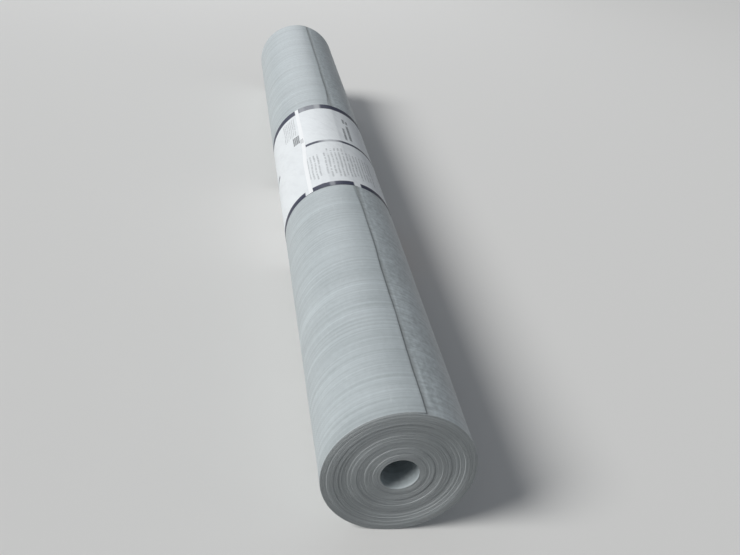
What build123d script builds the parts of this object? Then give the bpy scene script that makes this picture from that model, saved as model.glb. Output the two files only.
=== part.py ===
"""A roll of synthetic roofing underlayment: the wound sheet, and the printed band round its middle.

Millimetres. The roll lies along X with its middle at X = 0 and its lowest line on Z = 0. A place
round the roll is given as an angle, from the -Y side over the top (90) to the +Y side (180).
"""

from build123d import *

import os
from math import acos, cos, degrees, radians, sin

# The wound sheet
SHEET_WIDTH = 1219.2
ROLL_RADIUS = 76.0
BORE_RADIUS = 19.05
TAIL_ANGLE = 83.5
TAIL_STEP = 1.0
EDGE_ROUND = 2.0

# The turns' edges at the ends, in groups from the bore outwards: how far out each group ends, as a
# share of the depth of the winding, and how far it has slipped along the roll. The sheet is as wide
# in every turn, so a group that stands out at one end is sunk as much at the other.
TURN_GROUPS = (
    (0.05, 0.0),
    (0.12, -0.25),
    (0.17, 0.1),
    (0.26, -0.1),
    (0.31, 0.4),
    (0.39, 0.15),
    (0.48, -0.3),
    (0.54, 0.05),
    (0.63, 0.6),
    (0.69, 0.25),
    (0.77, -0.15),
    (0.88, -0.6),
    (0.94, -0.25),
    (1.0, 0.1),
)

# The printed band, which laps over itself where its ends are stuck down
BAND_WIDTH = 298.0
BAND_THICKNESS = 0.15
LAP_ANGLE = 125.5
LAP_WIDTH = 22.0


def at(centre, radius, angle):
    """Return the point at an angle and a distance from a centre."""
    return centre + Vector(radius * cos(radians(angle)), radius * sin(radians(angle)))


# The last turn is two half circles. The half behind the tail has its centre off the bore's, so the
# halves meet on one side and leave the tail's step on the other.
BORE_CENTRE = Vector(0, 0)
LOOSE_CENTRE = at(BORE_CENTRE, TAIL_STEP / 2, TAIL_ANGLE)
LOOSE_RADIUS = ROLL_RADIUS + TAIL_STEP / 2


def around_last_turn(clear, bridged):
    """Return the face inside a line that runs round the last turn, clear of it all the way.

    The line follows the tail's step, or is drawn tight over it like a band.
    """
    radius = ROLL_RADIUS + clear
    bridge = degrees(acos(radius / (radius + TAIL_STEP))) if bridged else 0
    loose = CenterArc(LOOSE_CENTRE, LOOSE_RADIUS + clear, TAIL_ANGLE, 180)
    tight = CenterArc(BORE_CENTRE, radius, TAIL_ANGLE + 180, 180 - bridge)
    return make_face([loose, tight, Line(tight @ 1, loose @ 0)])


def lap():
    """Return the face of the band's upper end: a second thickness that settles onto the first."""
    under = LOOSE_RADIUS + BAND_THICKNESS
    over = under + BAND_THICKNESS
    end = LAP_ANGLE + degrees(LAP_WIDTH / over)
    settled = end + degrees(acos(under / over))
    top = CenterArc(LOOSE_CENTRE, over, LAP_ANGLE, end - LAP_ANGLE)
    root = CenterArc(LOOSE_CENTRE, LOOSE_RADIUS, LAP_ANGLE, settled - LAP_ANGLE)
    foot = at(LOOSE_CENTRE, under, settled)
    return make_face([top, Line(top @ 1, foot), Line(foot, root @ 1), root, Line(root @ 0, top @ 0)])


def turned_winding():
    """Return the winding as one turned solid, with its bore and the groups of turns on its ends."""
    depth = ROLL_RADIUS + TAIL_STEP - BORE_RADIUS
    edge = []
    inner = BORE_RADIUS
    for share, slip in TURN_GROUPS:
        outer = BORE_RADIUS + share * depth
        edge += [(slip, inner), (slip, outer)]
        inner = outer
    low_end = [(slip - SHEET_WIDTH / 2, radius) for slip, radius in edge]
    high_end = [(slip + SHEET_WIDTH / 2, radius) for slip, radius in reversed(edge)]
    profile = make_face(Polyline(*low_end, *high_end, close=True))
    profile = fillet(profile.vertices().group_by(Axis.Y)[-1], EDGE_ROUND)
    return revolve(profile, Axis.X, 360)


# Faces are drawn across the roll, where the sketch's angles are the places round it.
centre_height = ROLL_RADIUS + BAND_THICKNESS
across = Plane(origin=(0, 0, centre_height), x_dir=(0, -1, 0), z_dir=(-1, 0, 0))

last_turn = extrude(across * around_last_turn(0, False), SHEET_WIDTH, both=True)
wound_roll = (Pos(0, 0, centre_height) * turned_winding()) & last_turn

band = around_last_turn(BAND_THICKNESS, True) + lap() - around_last_turn(0, True)
label_band = extrude(across * band, BAND_WIDTH / 2, both=True)

os.makedirs("parts", exist_ok=True)
export_step(wound_roll, "parts/wound_roll.step")
export_step(label_band, "parts/label_band.step")
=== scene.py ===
"""A roll of synthetic roofing underlayment with a printed band round its middle.

Lengths are in metres and angles in radians. Angles go round the roll's axis, from 0 on its right
side, seen from the near end, to a quarter turn on its top.
"""

import bmesh
import bpy
import numpy as np
from mathutils import Matrix, Vector


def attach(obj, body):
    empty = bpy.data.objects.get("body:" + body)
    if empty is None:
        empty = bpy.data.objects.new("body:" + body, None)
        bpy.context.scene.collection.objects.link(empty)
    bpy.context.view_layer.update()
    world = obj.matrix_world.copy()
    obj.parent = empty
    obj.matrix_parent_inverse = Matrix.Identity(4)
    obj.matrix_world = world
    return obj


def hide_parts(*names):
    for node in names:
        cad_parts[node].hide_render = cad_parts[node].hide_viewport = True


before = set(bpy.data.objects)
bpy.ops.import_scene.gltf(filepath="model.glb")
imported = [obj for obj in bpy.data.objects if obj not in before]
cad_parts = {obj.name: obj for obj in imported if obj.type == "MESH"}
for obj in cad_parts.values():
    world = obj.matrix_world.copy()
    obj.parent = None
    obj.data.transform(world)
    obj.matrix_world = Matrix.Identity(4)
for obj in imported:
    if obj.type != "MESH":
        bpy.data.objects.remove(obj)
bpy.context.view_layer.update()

# The wound sheet

# One sheet of woven plastic tape, coated silver-grey on both sides, wound on a bar that has been
# drawn out. Its last turn lies a little loose, and its tail rests along the top of the roll.

TURN = 2 * np.pi
SHEET_WIDTH = 1.2192
SHEET_THICKNESS = 0.00022
TAPE_WIDTH = 0.0015
ROLL_RADIUS = 0.076
BORE_RADIUS = 0.01905
AXIS_HEIGHT = 0.07615
EDGE_ROUND = 0.002
TAIL = np.radians(83.5)
TAIL_STEP = 0.001
BANDED_STEP = 0.0004
BAND_WIDTH = 0.298

# A real roll has 255 turns. Each turn of the mesh stands for three of them.
TURNS_SHOWN = 85
SHEETS_IN_TURN = 3
WAVES_OF_TURNS = 0.00012

# Groups of turns, by the share of the winding's depth at which each but the last ends, and by
# how far it has slipped along the roll.
ENDS_OF_GROUPS = np.array(
    [0.05, 0.12, 0.17, 0.26, 0.31, 0.39, 0.48, 0.54, 0.63, 0.69, 0.77, 0.88, 0.94]
)
SLIPS_OF_GROUPS = 0.001 * np.array(
    [0, -0.25, 0.1, -0.1, 0.4, 0.15, -0.3, 0.05, 0.6, 0.25, -0.15, -0.6, -0.25, 0.1]
)


def ramp(low, high, value):
    """0 below low and 1 above high, with an S-shaped rise between them: 3t^2 - 2t^3."""
    t = np.clip((value - low) / (high - low), 0, 1)
    return t * t * (3 - 2 * t)


def bell(distance, width):
    """1 at no distance, falling off on both sides: e to minus the square of distance by width."""
    return np.exp(-((distance / width) ** 2))


def wander(value, seed, spacing):
    """A smooth random line through values from -1 to 1 that are set one spacing apart."""
    knots = np.random.default_rng(seed).uniform(-1, 1, 4096)
    place = np.asarray(value) / spacing + len(knots) / 2
    left = np.floor(place).astype(int)
    share = ramp(0, 1, place - left)
    return knots[left] * (1 - share) + knots[left + 1] * share


def last_turn(back, step=TAIL_STEP):
    """Radius of the last turn's outside, by the angle back from the tail along the sheet.

    The first half circle back from the tail stands out by half the step times one plus the
    cosine of that angle. The second half lies tight on the turns below.
    """
    return ROLL_RADIUS + np.where(back < np.pi, step / 2 * (1 + np.cos(back)), 0)


def turn_radius(turns, angle):
    """Radius of the line between two turns, by the turns wound since the bore.

    It is the bore's for one turn, then grows evenly to the roll's, and ends as the last turn.
    Between bore and outside it waves a little, by three slow sines of the angle.
    """
    share = np.clip((turns - 1) / (TURNS_SHOWN - 1), 0, 1)
    waves = sum(np.sin(n * angle + drift * share) for n, drift in ((2, 9), (3, -14), (5, 23)))
    wound = BORE_RADIUS + (ROLL_RADIUS - BORE_RADIUS) * share
    wound = wound + WAVES_OF_TURNS * waves * np.sin(np.pi * share)
    return np.where(turns > TURNS_SHOWN, last_turn(TURN * (TURNS_SHOWN + 1 - turns)), wound)


def slip(radius):
    """How far the turns at a radius have slipped along the roll: a level for each group."""
    share = (radius - BORE_RADIUS) / (ROLL_RADIUS + TAIL_STEP - BORE_RADIUS)
    steps = ramp(-0.004, 0.004, share[..., None] - ENDS_OF_GROUPS)
    return SLIPS_OF_GROUPS[0] + steps @ np.diff(SLIPS_OF_GROUPS)


def around(radius, angle, along):
    """Points at a radius and an angle round the roll's axis, and at a distance along it."""
    radius, angle, along = np.broadcast_arrays(radius, angle, along)
    return np.stack([along, -radius * np.cos(angle), AXIS_HEIGHT + radius * np.sin(angle)], -1)


def pattern_of(first, second):
    """The two values of a pattern, side by side at each point of a grid."""
    return np.stack(np.broadcast_arrays(first, second), -1)


def add_object(name, data):
    """Put a mesh, a lamp or a camera into the scene."""
    thing = bpy.data.objects.new(name, data)
    bpy.context.collection.objects.link(thing)
    return thing


def add_piece(name, grids, materials):
    """Join grids of points into one mesh, and weld the points in which they meet.

    Each grid is its points, the two values of its pattern at each point, the number of its
    material, and whether its faces are turned round. The faces have four sides, between the
    points of two rows and two columns.
    """
    points, faces, pattern, numbers = [], [], [], []
    count = 0
    for place, values, number, turned in grids:
        rows, columns = place.shape[:2]
        first = (np.arange(rows - 1)[:, None] * columns + np.arange(columns - 1)).ravel()
        corners = np.stack([first, first + 1, first + columns + 1, first + columns], 1)
        corners = corners[:, ::-1] if turned else corners
        points.append(place.reshape(-1, 3))
        pattern.append(np.broadcast_to(values, (rows, columns, 2)).reshape(-1, 2)[corners.ravel()])
        faces.append(corners + count)
        numbers.append(np.full(len(corners), number))
        count += rows * columns
    mesh = bpy.data.meshes.new(name)
    mesh.from_pydata(np.concatenate(points), [], np.concatenate(faces))
    mesh.uv_layers.new(name="sheet").data.foreach_set("uv", np.concatenate(pattern).ravel())
    mesh.polygons.foreach_set("material_index", np.concatenate(numbers).astype(np.int32))
    for material in materials:
        mesh.materials.append(material)
    welded = bmesh.new()
    welded.from_mesh(mesh)
    bmesh.ops.remove_doubles(welded, verts=welded.verts, dist=2e-6)
    welded.to_mesh(mesh)
    welded.free()
    piece = add_object(name, mesh)
    mesh.shade_smooth()
    mesh.set_sharp_from_angle(angle=np.radians(40))
    return piece


class Value:
    """An output in a material's nodes. Arithmetic on it adds the Math nodes."""

    def __init__(self, finish, output):
        self.finish, self.output = finish, output

    def math(self, operation, *values, clamp=False):
        settings = {"operation": operation, "use_clamp": clamp}
        return self.finish.add("ShaderNodeMath", settings, dict(enumerate(values)))

    def __add__(self, other):
        return self.math("ADD", self, other)

    def __sub__(self, other):
        return self.math("SUBTRACT", self, other)

    def __rsub__(self, other):
        return self.math("SUBTRACT", other, self)

    def __mul__(self, other):
        return self.math("MULTIPLY", self, other)

    __radd__, __rmul__ = __add__, __mul__

    def floor(self):
        return self.math("FLOOR", self)

    def fraction(self):
        return self.math("FRACT", self)

    def size(self):
        return self.math("ABSOLUTE", self)

    def root(self):
        return self.math("SQRT", self)

    def larger(self, other):
        return self.math("MAXIMUM", self, other)

    def over(self, edge, soft):
        """0 below an edge and 1 above it, with a straight rise between as wide as soft."""
        return self.math("DIVIDE", self - (edge - soft / 2), soft, clamp=True)

    def within(self, low, high, soft):
        """1 between two edges and 0 outside them."""
        return self.over(low, soft) * (1 - self.over(high, soft))


class Finish:
    """A material built from nodes."""

    def __init__(self, name):
        self.material = bpy.data.materials.new(name)
        self.material.use_nodes = True
        self.tree = self.material.node_tree
        self.tree.nodes.clear()

    def add(self, kind, settings=None, inputs=None, output=0):
        """Add a node, set it up, give its sockets values or links, and return one output."""
        node = self.tree.nodes.new(kind)
        for name, value in (settings or {}).items():
            setattr(node, name, value)
        for name, value in (inputs or {}).items():
            if isinstance(value, Value):
                self.tree.links.new(value.output, node.inputs[name])
            else:
                node.inputs[name].default_value = value
        return Value(self, node.outputs[output]) if node.outputs else None

    def pattern(self):
        """The two values of the piece's own pattern."""
        place = self.add("ShaderNodeUVMap", {"uv_map": "sheet"})
        return [self.add("ShaderNodeSeparateXYZ", None, {0: place}, n) for n in (0, 1)]

    def noise(self, x, y, scale, detail, roughness=0.5):
        """Cloudy noise from 0 to 1, by a place's two values."""
        place = self.add("ShaderNodeCombineXYZ", None, {0: x, 1: y})
        inputs = {"Vector": place, "Scale": scale, "Detail": detail, "Roughness": roughness}
        return self.add("ShaderNodeTexNoise", None, inputs)

    def blend(self, share, low, high):
        """Mix two colours, from low at 0 to high at 1."""
        return self.add("ShaderNodeMix", {"data_type": "RGBA"}, {0: share, 6: low, 7: high}, 2)

    def bump(self, height, depth):
        """Tilt the surface's normal by a height from 0 to 1 that stands for a depth in metres."""
        inputs = {"Strength": 1.0, "Distance": depth, "Height": height}
        return self.add("ShaderNodeBump", None, inputs)

    def finish(self, **sockets):
        """End the material in its surface shader, with values or links by socket name."""
        inputs = {name.replace("_", " "): value for name, value in sockets.items()}
        surface = self.add("ShaderNodeBsdfPrincipled", None, inputs)
        self.add("ShaderNodeOutputMaterial", None, {"Surface": surface})
        return self.material


def crown_of(fraction):
    """1 in the middle of a strip and 0 at its edges: 1 - 4d^2, with d from the middle."""
    from_middle = fraction - 0.5
    return 1 - from_middle * from_middle * 4


DARK_COATING, LIGHT_COATING = (0.335, 0.374, 0.39, 1), (0.515, 0.57, 0.593, 1)
SCUFFED_COATING = (0.66, 0.69, 0.70, 1)
# The dark colour on the next line is dust along the tail, and painted shade beside it.
DUST_AND_SHADE = (0.19, 0.20, 0.195, 1)


def coated_weave():
    """Silver-grey coating over flat woven tapes, with faint bands round the roll and painted sheen
    and shade on the weave. Dust and painted shade lie along the tail.
    """
    sheet = Finish("coated_weave")
    round_it, along = sheet.pattern()
    fine_bands = sheet.noise(round_it * 0.014, along, 300, 2, 0.6)
    wide_bands = sheet.noise(round_it * 0.04, along, 34, 2)
    clouds = sheet.noise(round_it, along, 14, 3)
    grain = sheet.noise(round_it, along, 1400, 2)
    scuffs = sheet.noise(round_it, along * 0.12, 150, 4, 0.7).over(0.68, 0.1)

    # A plain weave: each square shows the tape that passes over there.
    across_round, across_along = round_it * (1 / TAPE_WIDTH), along * (1 / TAPE_WIDTH)
    over = ((across_round.floor() + across_along.floor()) * 0.5).fraction().over(0.25, 0.01)
    crown_round, crown_along = crown_of(across_round.fraction()), crown_of(across_along.fraction())
    crown = over * crown_round + (1 - over) * crown_along

    # Dust lies along the tail, with painted shade: a dark strip on the turn just past the tail's
    # edge, where the edge's shadow falls, and a darker tail edge and gap mouth. The slack turn
    # beside the tail is smudged.
    ahead = TURN * ROLL_RADIUS - round_it
    patches = sheet.noise(round_it, along * 0.6, 70, 3, 0.6)
    dust_and_shade = (1 - ahead.over(0.0038, 0.005)) + (1 - round_it.over(0.0014, 0.0028)) * 0.5
    dust_and_shade = dust_and_shade * (0.35 + 0.5 * patches)
    smudges = sheet.noise(round_it * 0.9, along * 0.7, 190, 3, 0.6) - 0.5
    smudges = smudges * (1 - ahead.over(0.045, 0.04)) + smudges * 0.25

    # The weave's tone holds painted sheen and shade: each tape lighter on its crown and darker at
    # its edges, and the tapes round and along the roll a little apart in tone.
    tone = (fine_bands - 0.5) * 1.55 + (wide_bands - 0.5) * 0.65 + (clouds - 0.5) * 0.45
    tone = tone + smudges * 2.0 + (over - 0.5) * 0.06 + (crown - 0.7) * 0.12 + 0.5
    colour = sheet.blend(tone, DARK_COATING, LIGHT_COATING)
    colour = sheet.blend(scuffs * 0.3, colour, SCUFFED_COATING)
    # Dust along the tail, and painted shade beside it.
    colour = sheet.blend(dust_and_shade, colour, DUST_AND_SHADE)
    height = crown * 0.45 + fine_bands * 0.5 + grain * 0.08
    return sheet.finish(
        Base_Color=colour,
        Roughness=0.36 + (clouds - 0.5) * 0.14 + (1 - crown) * 0.08 + scuffs * 0.1,
        Normal=sheet.bump(height, 0.00016),
    )


DARK_EDGE, LIGHT_EDGE = (0.15, 0.165, 0.17, 1), (0.50, 0.535, 0.55, 1)
TAPE_END = (0.66, 0.68, 0.68, 1)


def turn_edges():
    """Cut edges of the turns, each a little lighter or darker, with painted shade between them and
    specks of pale tape ends.
    """
    edge = Finish("turn_edges")
    turns, round_it = edge.pattern()
    each = edge.noise(turns * 2.6, round_it * 6, 1, 1)
    groups = edge.noise(turns * 0.24, round_it * 10, 1, 1)
    specks = edge.noise(turns * 3, round_it * 1100, 1, 2, 0.6)
    crown = crown_of((turns * SHEETS_IN_TURN).fraction())
    tone = 0.42 + (each - 0.5) * 1.1 + (groups - 0.5) * 0.7
    # Each sheet's edge is painted lighter in its middle and darker where it meets the next:
    # painted shade between the sheets.
    tone = tone + (specks - 0.5) * 0.45 + (crown - 0.6) * 0.35
    colour = edge.blend(tone, DARK_EDGE, LIGHT_EDGE)
    colour = edge.blend(specks.over(0.66, 0.1) * 0.4, colour, TAPE_END)
    height = crown * 0.6 + specks * 0.5
    return edge.finish(Base_Color=colour, Roughness=0.6, Normal=edge.bump(height, 0.00016))


# Angles back from the tail, in the order in which the sheet is wound. They lie close together
# near the tail, where the sheet's edge shows.
GAP = 0.16
fine = np.linspace(0, GAP, 13)
coarse = np.linspace(GAP, TURN - GAP, 72)[1:-1]
back = np.concatenate([fine, coarse, TURN - fine[::-1]])[::-1]
STEPS_ROUND = len(back) - 1

# How far the last turn stands off along the roll: least under the band, which draws it tight,
# and as far as the plain roll's at the very ends.
ROWS_ALONG = 361
LOOSE_STEP, STEP_CHANGE = 0.00092, 0.00018
DRAWN_PAST_BAND = 0.045
PLAIN_AT_END = 0.02
share = np.linspace(0, 1, ROWS_ALONG)[:, None]
nominal = SHEET_WIDTH * (share - 0.5)
from_middle = np.abs(nominal)
past_band = from_middle - BAND_WIDTH / 2
inward = ramp(0, PLAIN_AT_END, SHEET_WIDTH / 2 - from_middle)
banded = 1 - ramp(0, DRAWN_PAST_BAND, past_band)
loose_step = LOOSE_STEP + STEP_CHANGE * wander(nominal, 11, 0.05)
step = loose_step * (1 - banded) + BANDED_STEP * banded
step = TAIL_STEP * (1 - inward) + step * inward

# The outside of the last turn, with shallow rings, slack on the side away from the tail, a
# crease beside it, and a cut edge that isn't quite straight. On the whole it lies a little lower
# than the plain roll. The highest of these rise past that, but stay inside the CAD model's box.
# It is flat under the band.
INSET = 0.00016
FINE_RINGS, WIDE_RINGS = 0.0001, 0.00014
SLACK, SLACK_PLACE, SLACK_REACH = 0.0007, 0.03, 0.02
SHALLOW_WAVES = 0.00006
CREASE, CREASE_WIDTH = 0.00026, 0.0016
CREASE_PLACE, CREASE_STRAY = 0.0075, 0.0015
CURL, CURL_WIDTH = 0.00012, 0.004
PRESSED_PAST_BAND = 0.012
EDGE_BOW, BOW_START, BOW_END = 0.0025, 0.155, 0.225
EDGE_STRAY, EDGE_NICKS, EDGE_REACH = 0.0006, 0.00012, 0.012
arc = back * ROLL_RADIUS
ahead = TURN * ROLL_RADIUS - arc
rings = FINE_RINGS * wander(nominal, 71, 0.013) + WIDE_RINGS * wander(nominal, 72, 0.03)
slack = wander(nominal + 0.45 * ahead, 21, 0.03) * wander(ahead - 0.25 * nominal, 22, 0.013)
slack = SLACK * slack * bell(ahead - SLACK_PLACE, SLACK_REACH)
slack = slack + SHALLOW_WAVES * wander(nominal - 0.3 * arc, 23, 0.06)
crease_line = CREASE_PLACE + CREASE_STRAY * wander(nominal, 31, 0.05)
crease = CREASE * (0.6 + 0.4 * wander(nominal, 32, 0.03)) * bell(ahead - crease_line, CREASE_WIDTH)
curl = CURL * bell(arc, CURL_WIDTH)
pressed = 1 - ramp(0, PRESSED_PAST_BAND, past_band)
lift = (rings + slack + crease + curl) * (1 - pressed) - INSET
outer_radius = last_turn(back, step) + lift * inward
edge_line = EDGE_BOW * (1 - ramp(BOW_START, BOW_END, from_middle))
edge_line = edge_line + EDGE_STRAY * wander(nominal, 41, 0.045)
edge_line = edge_line + EDGE_NICKS * wander(nominal, 42, 0.012)
outer_angle = TAIL + back + edge_line * bell(arc, EDGE_REACH) * inward / ROLL_RADIUS

# The gap under the tail: its floor is the turn below, and its roof is the tail's own underside,
# which comes down to the floor a finger's width in.
tail = slice(-len(fine), None)
tail_back = back[tail]
tail_arc = tail_back * ROLL_RADIUS
into_gap = tail_back / GAP
floor_radius = turn_radius(TURNS_SHOWN - tail_back / TURN, TAIL + tail_back)
floor_radius = floor_radius + (outer_radius[:, :1] - ROLL_RADIUS) * (1 - into_gap)
floor_angle = TAIL + tail_back + (outer_angle[:, tail] - TAIL - tail_back) * into_gap
closed = into_gap**1.3
roof_radius = (outer_radius[:, tail] - SHEET_THICKNESS) * (1 - closed) + floor_radius * closed

# The ends: the sheet's edge, wound outwards from the bore, with a groove on each side of a turn.
# The groove is whole beside turns at least as thick as LEAST_GROOVED_TURN, and weaker beside
# thinner ones. The outermost turns are rounded over.
GROOVE, LEAST_GROOVED_TURN = 0.0002, 0.0004
RAGGED = 0.00004
whole, part = np.divmod(np.arange(TURNS_SHOWN * STEPS_ROUND + 1), STEPS_ROUND)
turns = (whole + 1 - back[part] / TURN)[:, None]
angle = TAIL - TURN * turns
across = np.array([0, 0.22, 0.78, 1])
inside, outside = turn_radius(turns, angle), turn_radius(turns + 1, angle)
beyond = np.where(turns + 1 > TURNS_SHOWN, outside, turn_radius(turns + 2, angle))
below = turn_radius(np.maximum(turns - 1, 0), angle)
thinner_inside = np.minimum(inside - below, outside - inside)
thinner_outside = np.minimum(outside - inside, beyond - outside)
inner_groove = np.clip(thinner_inside / LEAST_GROOVED_TURN, 0, 1)
outer_groove = np.clip(thinner_outside / LEAST_GROOVED_TURN, 0, 1)
groove = GROOVE * (inner_groove * (across == 0) + outer_groove * (across == 1))
inside[tail, 0] = roof_radius[0]
edge_radius = inside + (outside - inside) * across
edge_turns = turns + across
past_round = np.clip(edge_radius - (ROLL_RADIUS + TAIL_STEP - EDGE_ROUND), 0, EDGE_ROUND)
rounding = EDGE_ROUND - np.sqrt(EDGE_ROUND**2 - past_round**2)
ragged = RAGGED * (1 + wander(edge_turns, 5, 0.7) * ramp(1, 2, edge_turns))
sunk = groove + rounding + ragged
near_x = slip(edge_radius) - SHEET_WIDTH / 2 + sunk
far_x = slip(edge_radius) + SHEET_WIDTH / 2 - sunk
edge_pattern = pattern_of(edge_turns, angle * 0.05)


def lengthwise(points, edge, share=share):
    """Places along the roll, from some points of the near end's edge to those of the far end's."""
    return near_x[points, edge] + (far_x[points, edge] - near_x[points, edge]) * share


outer_x = lengthwise(slice(-STEPS_ROUND - 1, None), -1)
floor_x = lengthwise(slice(-STEPS_ROUND - len(fine), -STEPS_ROUND), -1)
roof_x = lengthwise(tail, 0)
lip_x = lengthwise(-1, slice(None))
lip_radius = roof_radius[:, -1:] + (outer_radius[:, -1:] - roof_radius[:, -1:]) * across

# The bore: the inside of the first turn, which isn't perfectly round between the ends.
BORE_HOLLOWS = 0.0003
bore_share = share[::24]
bore_x = lengthwise(slice(0, STEPS_ROUND + 1), 0, bore_share)
bore_angle = TAIL + back
hollows = 1 + wander(4 * bore_share, 81, 0.31) * np.cos(2 * bore_angle + 5 * bore_share)
bore_radius = BORE_RADIUS + BORE_HOLLOWS * hollows * np.sin(np.pi * bore_share) ** 0.5

near_end = around(edge_radius, angle, near_x)
far_end = around(edge_radius, angle, far_x)
outer_face = around(outer_radius, outer_angle, outer_x)
gap_floor = around(floor_radius, floor_angle, floor_x)
gap_roof = around(roof_radius, outer_angle[:, tail], roof_x)
tail_lip = around(lip_radius, outer_angle[:, -1:], lip_x)
bore_wall = around(bore_radius, bore_angle, bore_x)

wound_sheet = add_piece(
    "wound_sheet",
    [
        (near_end, edge_pattern, 1, True),
        (far_end, edge_pattern, 1, False),
        (outer_face, pattern_of(arc, outer_x), 0, False),
        (gap_floor, pattern_of(tail_arc, floor_x), 0, False),
        (gap_roof, pattern_of(tail_arc, roof_x), 0, True),
        (tail_lip, pattern_of(across * SHEET_THICKNESS, lip_x), 0, True),
        (bore_wall, pattern_of(back * BORE_RADIUS, bore_x), 0, True),
    ],
    [coated_weave(), turn_edges()],
)
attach(wound_sheet, "root")
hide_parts("wound_roll")

# The printed band

# A strip of white coated paper, wrapped tight round the roll over the tail. Its upper end laps
# the lower one and is stuck down, with the unprinted margin of the strip along it.

BAND_THICKNESS = 0.00012
LAP_EDGE = np.radians(125.5)
LAP_WIDTH = 0.022
STRIP_LENGTH = LAP_WIDTH + TURN * ROLL_RADIUS


def over_tail(angle):
    """Radius of a band drawn tight round the roll, which bridges the tail's step straight.

    A straight line that just touches a circle lies at the circle's radius over the cosine of the
    angle from the point where it touches.
    """
    back = np.mod(angle - TAIL, TURN)
    touch = np.arccos(ROLL_RADIUS / (ROLL_RADIUS + BANDED_STEP))
    line = ROLL_RADIUS / np.cos(np.clip(touch - (TURN - back), 0, touch))
    return np.maximum(last_turn(back, BANDED_STEP), line)


SHADED_PAPER, PAPER = (0.70, 0.735, 0.76, 1), (0.775, 0.81, 0.835, 1)
# The first colour on the next line is painted shade for the band's wrinkles; the second is its
# bare margin.
CREASE_SHADED_PAPER, BARE_PAPER = (0.58, 0.605, 0.63, 1), (0.83, 0.85, 0.87, 1)
NAVY, WORN_NAVY = (0.014, 0.017, 0.043, 1), (0.036, 0.041, 0.078, 1)
ORANGE, WORN_ORANGE = (0.56, 0.27, 0.085, 1), (0.68, 0.36, 0.13, 1)
GREY_INK = (0.12, 0.13, 0.14, 1)

# Where the print lies. A block's first two numbers are from start to end round the strip, from
# its lower end, and the others are across it, from its middle to one of its edges. The near
# stripe's two painted highlights have a start and an end round it, and the far stripe's faded
# parts a share of ink lost too.
MARGIN, BARE_AT_LAP = 0.0062, 0.0118
FAR_STRIPE, NEAR_STRIPE = 0.1312, 0.1372
# Both spans on the next line are painted highlights on the near stripe: over the tail's ridge, and
# on a crease's lit side.
NEAR_TAIL_HIGHLIGHT, NEAR_CREASE_HIGHLIGHT = (0.0767, 0.0867), (0.0435, 0.0505)
HALF_RULE, RULE_SHORT, RULE_FADED = 0.0037, 0.065, (0.046, 0.074)
FADED_PARTS = ((0.0225, 0.0325, 0.36), (0.0325, 0.049, 0.24), (0.049, 0.0585, 0.46))
ROW_PITCH, FINE_ROW_PITCH = 0.0054, 0.0036
ROW_END, ROW_END_CHANGE = 0.106, 0.025
MARKS_BLOCK = (0.0495, 0.0770, 0.0280, 0.0385)
NEAR_BLOCKS = (
    (0.0165, 0.0385, 0.0425, 0.1240),
    (0.0435, 0.1180, 0.0425, 0.1240),
    (0.1350, 0.1740, 0.0425, 0.1240),
    (0.3480, 0.4160, 0.0425, 0.1240),
)
FAR_BLOCKS = (
    (0.1400, 0.2050, 0.0160, 0.1180),
    (0.3480, 0.4160, 0.0240, 0.1120),
    (0.4640, 0.4900, 0.0550, 0.1220),
)
BOLD_BLOCKS = (
    (0.0862, 0.0900, 0.014, 0.060),
    (0.0945, 0.0990, 0.018, 0.076),
    (0.0905, 0.0945, 0.084, 0.101),
    (0.0962, 0.1000, 0.084, 0.097),
)
SQUARES_BLOCK = (0.4800, 0.4920, 0.0216, 0.0504)
SQUARE_ROUND, SQUARE_ACROSS = 0.003, 0.0036
CHEQUER_BLOCK = (0.4927, 0.4979, 0.0156, 0.0312)
CHEQUER = 0.0013
BAR_BLOCK = (0.184, 0.252, 0.0955, 0.1025)

# The middle of a panel round the strip, its length there, and its start, width and corner's
# radius across the strip, where the far half is above 0.
ORANGE_PANEL = (0.218, 0.072, -0.093, 0.081, 0.006)
OUTLINED_PANELS = ((0.236, 0.052, 0.030, 0.076, 0.005), (0.296, 0.052, 0.030, 0.076, 0.005))


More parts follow.
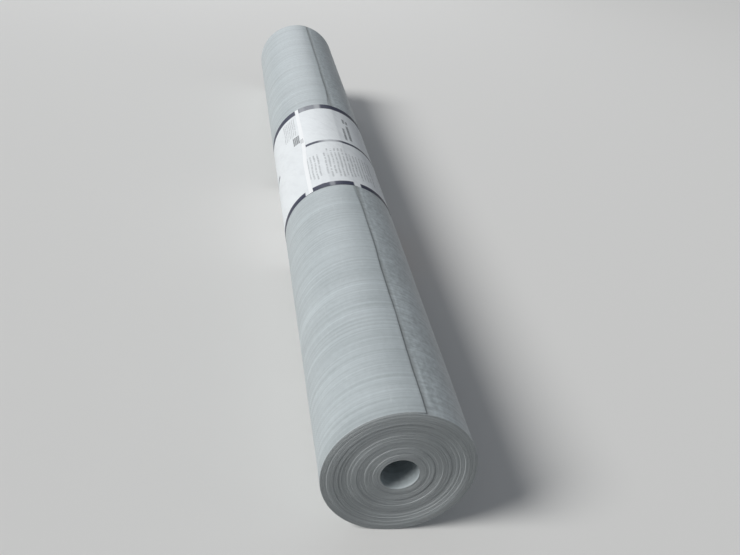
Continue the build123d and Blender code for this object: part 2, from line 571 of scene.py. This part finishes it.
def printed_paper():
    """White paper with navy stripes, a rule, rows of small grey print and a plain orange block."""
    paper = Finish("printed_paper")
    run, far = paper.pattern()
    near = -1 * far
    fibre = paper.noise(run, far, 900, 3)
    wear = paper.noise(run, far * 0.5, 110, 4, 0.65)
    blotch = paper.noise(run, far, 26, 3)
    wrinkles = paper.noise(run * 1.5 + far * 0.8, far * 0.4, 38, 2)
    crumple = paper.noise(run * 1.3 + far * 0.6, far * 0.7, 105, 3, 0.6)
    wobble = (wear - 0.5) * 0.0008

    def block(side, start, end, low, high, soft_round=0.0005, soft_across=0.0015):
        """1 in a block of print on one half of the strip, and 0 outside it."""
        return run.within(start, end, soft_round) * side.within(low, high, soft_across)

    def print_rows(pitch, seed):
        """Rows of plain bars along the roll, which stand in for words of uneven length."""
        row_place = (run + (blotch - 0.5) * 0.004) * (1 / pitch)
        row, in_row = row_place.floor(), row_place.fraction().within(0.24, 0.70, 0.12)
        words = paper.noise(far * (1 / pitch), row * 5.17 + seed, 1, 2, 0.6).over(0.40, 0.05)
        bars = paper.noise(far * (6.5 / pitch), row * 3.9, 1, 1).over(0.45, 0.16)
        return in_row * words * (0.3 + 0.7 * bars), row

    def panel(middle, length, start, width, corner):
        """How far outside a panel with rounded corners a place is: 0 on its outline.

        It is the distance from the rounded corner's centre, less the corner's radius.
        """
        past_side = ((run - middle).size() - (length / 2 - corner)).larger(0.0)
        past_end = ((far - (start + width / 2)).size() - (width / 2 - corner)).larger(0.0)
        return (past_side * past_side + past_end * past_end).root() - corner

    # Navy stripes along both edges, and a rule between the halves. The near stripe stops at the
    # bare margin by the lap. It is left out where it crosses the tail's ridge and made paler on a
    # crease's lit side, both painted highlights. The far stripe and the rule have faded in places.
    faded = sum(run.within(start, end, 0.004) * share for start, end, share in FADED_PARTS)
    far_stripe = (far + wobble).over(FAR_STRIPE, 0.0008) * (1 - faded)
    margin_and_highlight = run.within(*NEAR_TAIL_HIGHLIGHT, 0.0015).larger(run.over(STRIP_LENGTH - BARE_AT_LAP, 0.002))
    near_stripe = (near + wobble).over(NEAR_STRIPE, 0.0008) * (1 - margin_and_highlight)
    near_stripe = near_stripe * (1 - run.within(*NEAR_CREASE_HIGHLIGHT, 0.003) * 0.3)
    rule = 1 - (far + wobble).size().over(HALF_RULE, 0.0009)
    rule = rule * (1 - run.over(STRIP_LENGTH - RULE_SHORT, 0.0008))
    rule = rule * (1.2 - run.within(*RULE_FADED, 0.014) * 0.6 - blotch * 0.35)
    bar = block(near, *BAR_BLOCK, 0.0005, 0.0005)
    navy_ink = near_stripe.larger(rule).larger(far_stripe).larger(bar)

    # Small print on the near half, with a short mark before some of the rows, and ragged ends.
    lines, row = print_rows(ROW_PITCH, 0.0)
    shorter = paper.noise(row * 7.31, 0.5, 1, 0) * ROW_END_CHANGE
    marks = lines * block(near, *MARKS_BLOCK, 0.0005, 0.0012)
    lines = lines * sum(block(near, *place) for place in NEAR_BLOCKS)
    lines = lines * (1 - (near - shorter).over(ROW_END, 0.0015))

    # The far half: pale print, some bold rows, a patch of small squares and a finer chequer.
    fine_lines, _ = print_rows(FINE_ROW_PITCH, 3.3)
    fine_lines = fine_lines * sum(block(far, *place) for place in FAR_BLOCKS)
    thick_bars = paper.noise(far * 620, (run * 120).floor(), 1, 1).over(0.44, 0.12)
    bold = sum(block(far, *place, 0.0004, 0.0012) for place in BOLD_BLOCKS)
    bold = bold * (0.25 + 0.75 * thick_bars)
    squares = (run * (1 / SQUARE_ROUND)).fraction().within(0.10, 0.90, 0.05)
    squares = squares * (far * (1 / SQUARE_ACROSS)).fraction().within(0.10, 0.90, 0.05)
    squares = squares * block(far, *SQUARES_BLOCK, 0.0002, 0.0002)
    chequer = ((run * (1 / CHEQUER)).floor() + (far * (1 / CHEQUER)).floor()) * 0.5
    chequer = chequer.fraction().over(0.25, 0.01) * block(far, *CHEQUER_BLOCK, 0.0002, 0.0002)

    # Round on the other sides: a plain orange block, and plain outlined panels.
    orange_block = 1 - panel(*ORANGE_PANEL).over(0, 0.0006)
    outlines = sum(panel(*place).within(-0.0011, 0.0001, 0.0004) for place in OUTLINED_PANELS)

    grey_ink = lines * 0.46 + marks * 0.5 + fine_lines * 0.45 + outlines * 0.7
    grey_ink = grey_ink * (0.7 + 0.6 * wear) + bold * (0.55 + 0.5 * wear)
    grey_ink = grey_ink + squares + chequer * 0.7
    colour = paper.blend(blotch * 0.7 + fibre * 0.3, SHADED_PAPER, PAPER)
    # Paper painted darker along the wrinkles and crumples: painted shade.
    colour = paper.blend((wrinkles + crumple - 0.95) * 0.8, colour, CREASE_SHADED_PAPER)
    colour = paper.blend(orange_block, colour, paper.blend(wear, ORANGE, WORN_ORANGE))
    colour = paper.blend(grey_ink * (1 - orange_block), colour, GREY_INK)
    colour = paper.blend(navy_ink, colour, paper.blend(wear, NAVY, WORN_NAVY))
    margin = run.over(STRIP_LENGTH - MARGIN, 0.0005)
    colour = paper.blend(margin * (1 - chequer), colour, BARE_PAPER)
    height = fibre * 0.04 + wear * 0.1 + wrinkles + crumple * 0.8
    return paper.finish(
        Base_Color=colour, Roughness=0.38 + blotch * 0.16, Normal=paper.bump(height, 0.0006)
    )


# The strip, with edges that aren't quite straight, and its near half wound a little askew at the
# upper end. Its edges stay just inside its width.
POINTS_ROUND, POINTS_ACROSS = 415, 109
EDGE_WOBBLE, EDGE_ROOM = 0.0004, 0.0009
SKEW = 0.0035
run = np.linspace(0, STRIP_LENGTH, POINTS_ROUND)
across_share = np.linspace(-0.5, 0.5, POINTS_ACROSS)[:, None]
to_edge = np.abs(across_share)
uneven = EDGE_WOBBLE * wander(run, 51, 0.03) * np.sign(across_share) * ramp(0.4, 0.5, to_edge)
x_band = (BAND_WIDTH - EDGE_ROOM) * across_share + uneven
near_half = 1 - ramp(-0.07, 0.015, x_band)
skew = SKEW * near_half * ramp(STRIP_LENGTH - 0.05, STRIP_LENGTH - 0.012, run)
strip_angle = LAP_EDGE + (LAP_WIDTH - run + skew) / ROLL_RADIUS
lapped = ramp(STRIP_LENGTH - LAP_WIDTH - 0.004, STRIP_LENGTH - LAP_WIDTH + 0.001, run)

# Its surface: two long creases in the near half, slanting wrinkles here and there, soft puckers,
# and edges that stand off a little, all higher where the turn below is loose. None of them goes
# below the sheet under it, and the lap lies flat.
LONG_CREASES = ((0.0342, 0.0022), (0.0447, 0.0024))
CREASE_HEIGHT, FOLD_HEIGHT, PUCKER_HEIGHT, EDGE_HEIGHT = 0.0001, 0.0001, 0.00004, 0.00006
MOST_RELIEF = 0.00015
FREE_EDGE_LIFT, FREE_EDGE_DEPTH = 0.0001, 0.006
BAND_INSET, LAP_GAP = 0.00013, 0.00002
long_creases = sum(bell(run - place, width) for place, width in LONG_CREASES)
folded = wander(x_band + 0.2 * run, 67, 0.05) * wander(run - 0.3 * x_band, 68, 0.045)
folds = (1 - np.abs(wander(run * 0.8 + 0.9 * x_band, 66, 0.02))) ** 4 * ramp(-0.1, 0.4, folded)
puckers = 1 + wander(run * 1.2 + 0.5 * x_band, 61, 0.024) * wander(x_band - 0.4 * run, 62, 0.018)
standing = ramp(0.46, 0.5, to_edge) * (0.5 + 0.5 * wander(run, 65, 0.035))
relief = CREASE_HEIGHT * long_creases * near_half + FOLD_HEIGHT * folds
relief = relief + PUCKER_HEIGHT * puckers + EDGE_HEIGHT * standing
loose = (last_turn(np.mod(strip_angle - TAIL, TURN)) - ROLL_RADIUS) / TAIL_STEP
relief = np.minimum(relief, MOST_RELIEF) * (1 + 2 * loose)
relief = relief * (1 - lapped) * ramp(LAP_WIDTH - 0.001, LAP_WIDTH + 0.006, run)
free_edge = ramp(STRIP_LENGTH - FREE_EDGE_DEPTH, STRIP_LENGTH, run)
free_edge = free_edge * (0.6 + 0.4 * wander(x_band, 64, 0.03))
band_inside = over_tail(strip_angle) - BAND_INSET + lapped * (BAND_THICKNESS + LAP_GAP)
band_inside = band_inside + relief + FREE_EDGE_LIFT * free_edge

face = around(band_inside + BAND_THICKNESS, strip_angle, x_band)
underside = around(band_inside, strip_angle, x_band)
near_edge, far_edge = (np.stack([face[n], underside[n]]) for n in (0, -1))
lower_end, upper_end = (np.stack([face[:, n], underside[:, n]]) for n in (0, -1))
strip_pattern = pattern_of(run, x_band)

printed_band = add_piece(
    "printed_band",
    [
        (face, strip_pattern, 0, False),
        (underside, strip_pattern, 0, True),
        (near_edge, strip_pattern[0], 0, True),
        (far_edge, strip_pattern[-1], 0, False),
        (lower_end, strip_pattern[:, 0], 0, False),
        (upper_end, strip_pattern[:, -1], 0, True),
    ],
    [printed_paper()],
)
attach(printed_band, "root")
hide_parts("label_band")

# The floor, the lamps and the camera

# A plain pale floor and backdrop, a large soft key lamp from the upper left, and two weak lamps,
# one on the right and one at the far end.

FLOOR_REACH = 6
FLOOR_COLOUR = (0.74, 0.74, 0.73, 1)
corners = [(x * FLOOR_REACH, y * FLOOR_REACH, 0) for x, y in ((-1, -1), (1, -1), (1, 1), (-1, 1))]
floor_mesh = bpy.data.meshes.new("floor")
floor_mesh.from_pydata(corners, [], [(0, 1, 2, 3)])
floor_mesh.materials.append(Finish("pale_floor").finish(Base_Color=FLOOR_COLOUR, Roughness=0.9))
floor = add_object("floor", floor_mesh)

# The room lights the roll more dimly than the camera sees its backdrop.
world = bpy.data.worlds.new("room")
bpy.context.scene.world = world
world.use_nodes = True
nodes, links = world.node_tree.nodes, world.node_tree.links
seen = nodes.new("ShaderNodeLightPath")
room = nodes.new("ShaderNodeMix")
room.data_type = "RGBA"
room.inputs["A"].default_value = (0.155, 0.164, 0.178, 1)
room.inputs["B"].default_value = (0.57, 0.565, 0.55, 1)
links.new(seen.outputs["Is Camera Ray"], room.inputs["Factor"])
links.new(room.outputs["Result"], nodes["Background"].inputs["Color"])


def shine(holder, direction):
    """Turn a lamp to shine along a direction."""
    holder.rotation_euler = Vector(direction).to_track_quat("-Z", "Y").to_euler()


key = bpy.data.lights.new("key", "SUN")
key.energy, key.angle, key.color = 2.8, np.radians(24), (1, 0.99, 0.97)
shine(add_object("key", key), (0.42, -1.46, -1.17))

for name, power, place in (("fill", 5, (-1.2, -3, 2)), ("back", 14, (2.8, 0.6, 1.25))):
    lamp = bpy.data.lights.new(name, "AREA")
    lamp.energy, lamp.size, lamp.color = power, 1.8, (0.95, 0.97, 1)
    holder = add_object(name, lamp)
    holder.location = place
    shine(holder, -Vector(place))

# The camera looks down from the near end, a little from the left, and is tilted to one side.
camera_data = bpy.data.cameras.new("camera")
camera_data.lens, camera_data.sensor_width = 39.9, 36
eye, target = Vector((-1.146, 0.221, 0.624)), Vector((-0.2602, -0.0264, 0.076))
tilt = Matrix.Rotation(np.radians(12.7), 3, "Z").to_quaternion()
camera = add_object("camera", camera_data)
camera.rotation_mode = "QUATERNION"
camera.location = eye
camera.rotation_quaternion = (target - eye).to_track_quat("-Z", "Y") @ tilt
bpy.context.scene.camera = camera
bpy.context.scene.view_settings.view_transform = "Standard"
